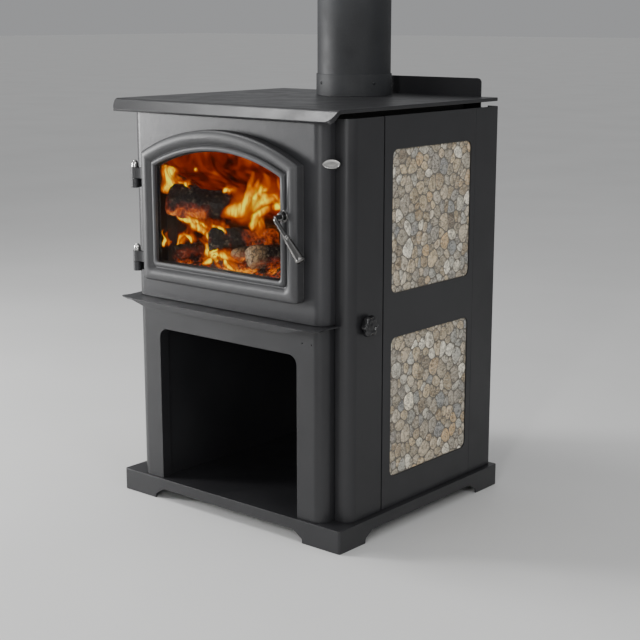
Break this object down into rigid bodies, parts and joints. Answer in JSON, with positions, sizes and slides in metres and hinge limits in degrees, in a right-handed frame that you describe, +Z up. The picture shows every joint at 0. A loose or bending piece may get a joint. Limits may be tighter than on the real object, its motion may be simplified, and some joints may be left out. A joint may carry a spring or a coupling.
{
  "type": "wood burning stove",
  "caption": "Freestanding wood burning stove on a log store pedestal, with an arched glass door, ash lip, stone inlaid sides, top plate and a vertical flue pipe.",
  "frame": {"origin": "on the floor, under the centre of the stove's bounding box", "axes": "+Z up, the door faces -Y, +X to the right as seen from the front"},
  "size_m": [0.6668, 0.6564, 1.235],
  "materials": {
    "black_paint": "satin",
    "cast_paint": "satin",
    "dark_steel": "matte",
    "pipe_paint": "satin",
    "stainless": "brushed",
    "nickel": "satin",
    "stone": "satin",
    "firebrick": "matte",
    "ceramic_board": "matte",
    "glass": "polished",
    "rope_seal": "matte",
    "knob_black": "gloss",
    "charred_wood": "matte",
    "embers": "matte",
    "flame": "gloss"
  },
  "bodies": {
    "stove": {"base_plinth": "black_paint", "store_front": "black_paint", "store_left_wall": "black_paint", "store_right_wall": "black_paint", "store_back_wall": "black_paint", "store_ceiling": "black_paint", "ash_lip": "black_paint", "top_plate": "black_paint", "left_front_column": "black_paint", "right_front_column": "black_paint", "left_rear_column": "black_paint", "right_rear_column": "black_paint", "left_side_panel": "black_paint", "right_side_panel": "black_paint", "rear_shield": "black_paint", "firebox_front": "cast_paint", "upper_stove_knuckle": "cast_paint", "lower_stove_knuckle": "cast_paint", "firebox_shell": "dark_steel", "left_inner_shield": "dark_steel", "right_inner_shield": "dark_steel", "latch_keeper": "dark_steel", "air_duct": "dark_steel", "flue_collar": "pipe_paint", "flue_pipe": "pipe_paint", "flue_liner": "stainless", "air_tube_1": "stainless", "air_tube_2": "stainless", "air_tube_3": "stainless", "oval_badge": "nickel", "upper_hinge_pin": "nickel", "lower_hinge_pin": "nickel", "left_lower_stone": "stone", "left_upper_stone": "stone", "right_lower_stone": "stone", "right_upper_stone": "stone", "floor_firebrick_1": "firebrick", "floor_firebrick_2": "firebrick", "floor_firebrick_3": "firebrick", "left_firebrick_1": "firebrick", "left_firebrick_2": "firebrick", "right_firebrick_1": "firebrick", "right_firebrick_2": "firebrick", "back_firebrick": "firebrick", "baffle_board": "ceramic_board"},
    "door": {"door_frame": "cast_paint", "door_glass": "glass", "glass_gasket": "rope_seal", "glass_retainer": "dark_steel", "door_gasket": "rope_seal", "upper_door_knuckle": "cast_paint", "lower_door_knuckle": "cast_paint", "handle_bushing": "nickel"},
    "handle": {"handle_rod": "nickel", "handle_grip": "nickel", "handle_end_cap": "nickel", "latch_cam": "dark_steel"},
    "air_control": {"air_knob": "knob_black", "air_spindle": "stainless", "air_shutter": "dark_steel"}
  },
  "joints": [
    {"name": "door_swing", "type": "hinge", "parent": "stove", "child": "door", "pos_m": [-0.25835, -0.2773, 0.67], "axis": [0, 0, -1], "range_deg": [0, 120]},
    {"name": "handle_turn", "type": "hinge", "parent": "door", "child": "handle", "pos_m": [0.19465, -0.3178, 0.7045], "axis": [0, -1, 0], "range_deg": [-45, 45]},
    {"name": "air_control_turn", "type": "hinge", "parent": "stove", "child": "air_control", "pos_m": [0.31415, -0.1678, 0.474], "axis": [1, 0, 0], "range_deg": [0, 90]}
  ]
}
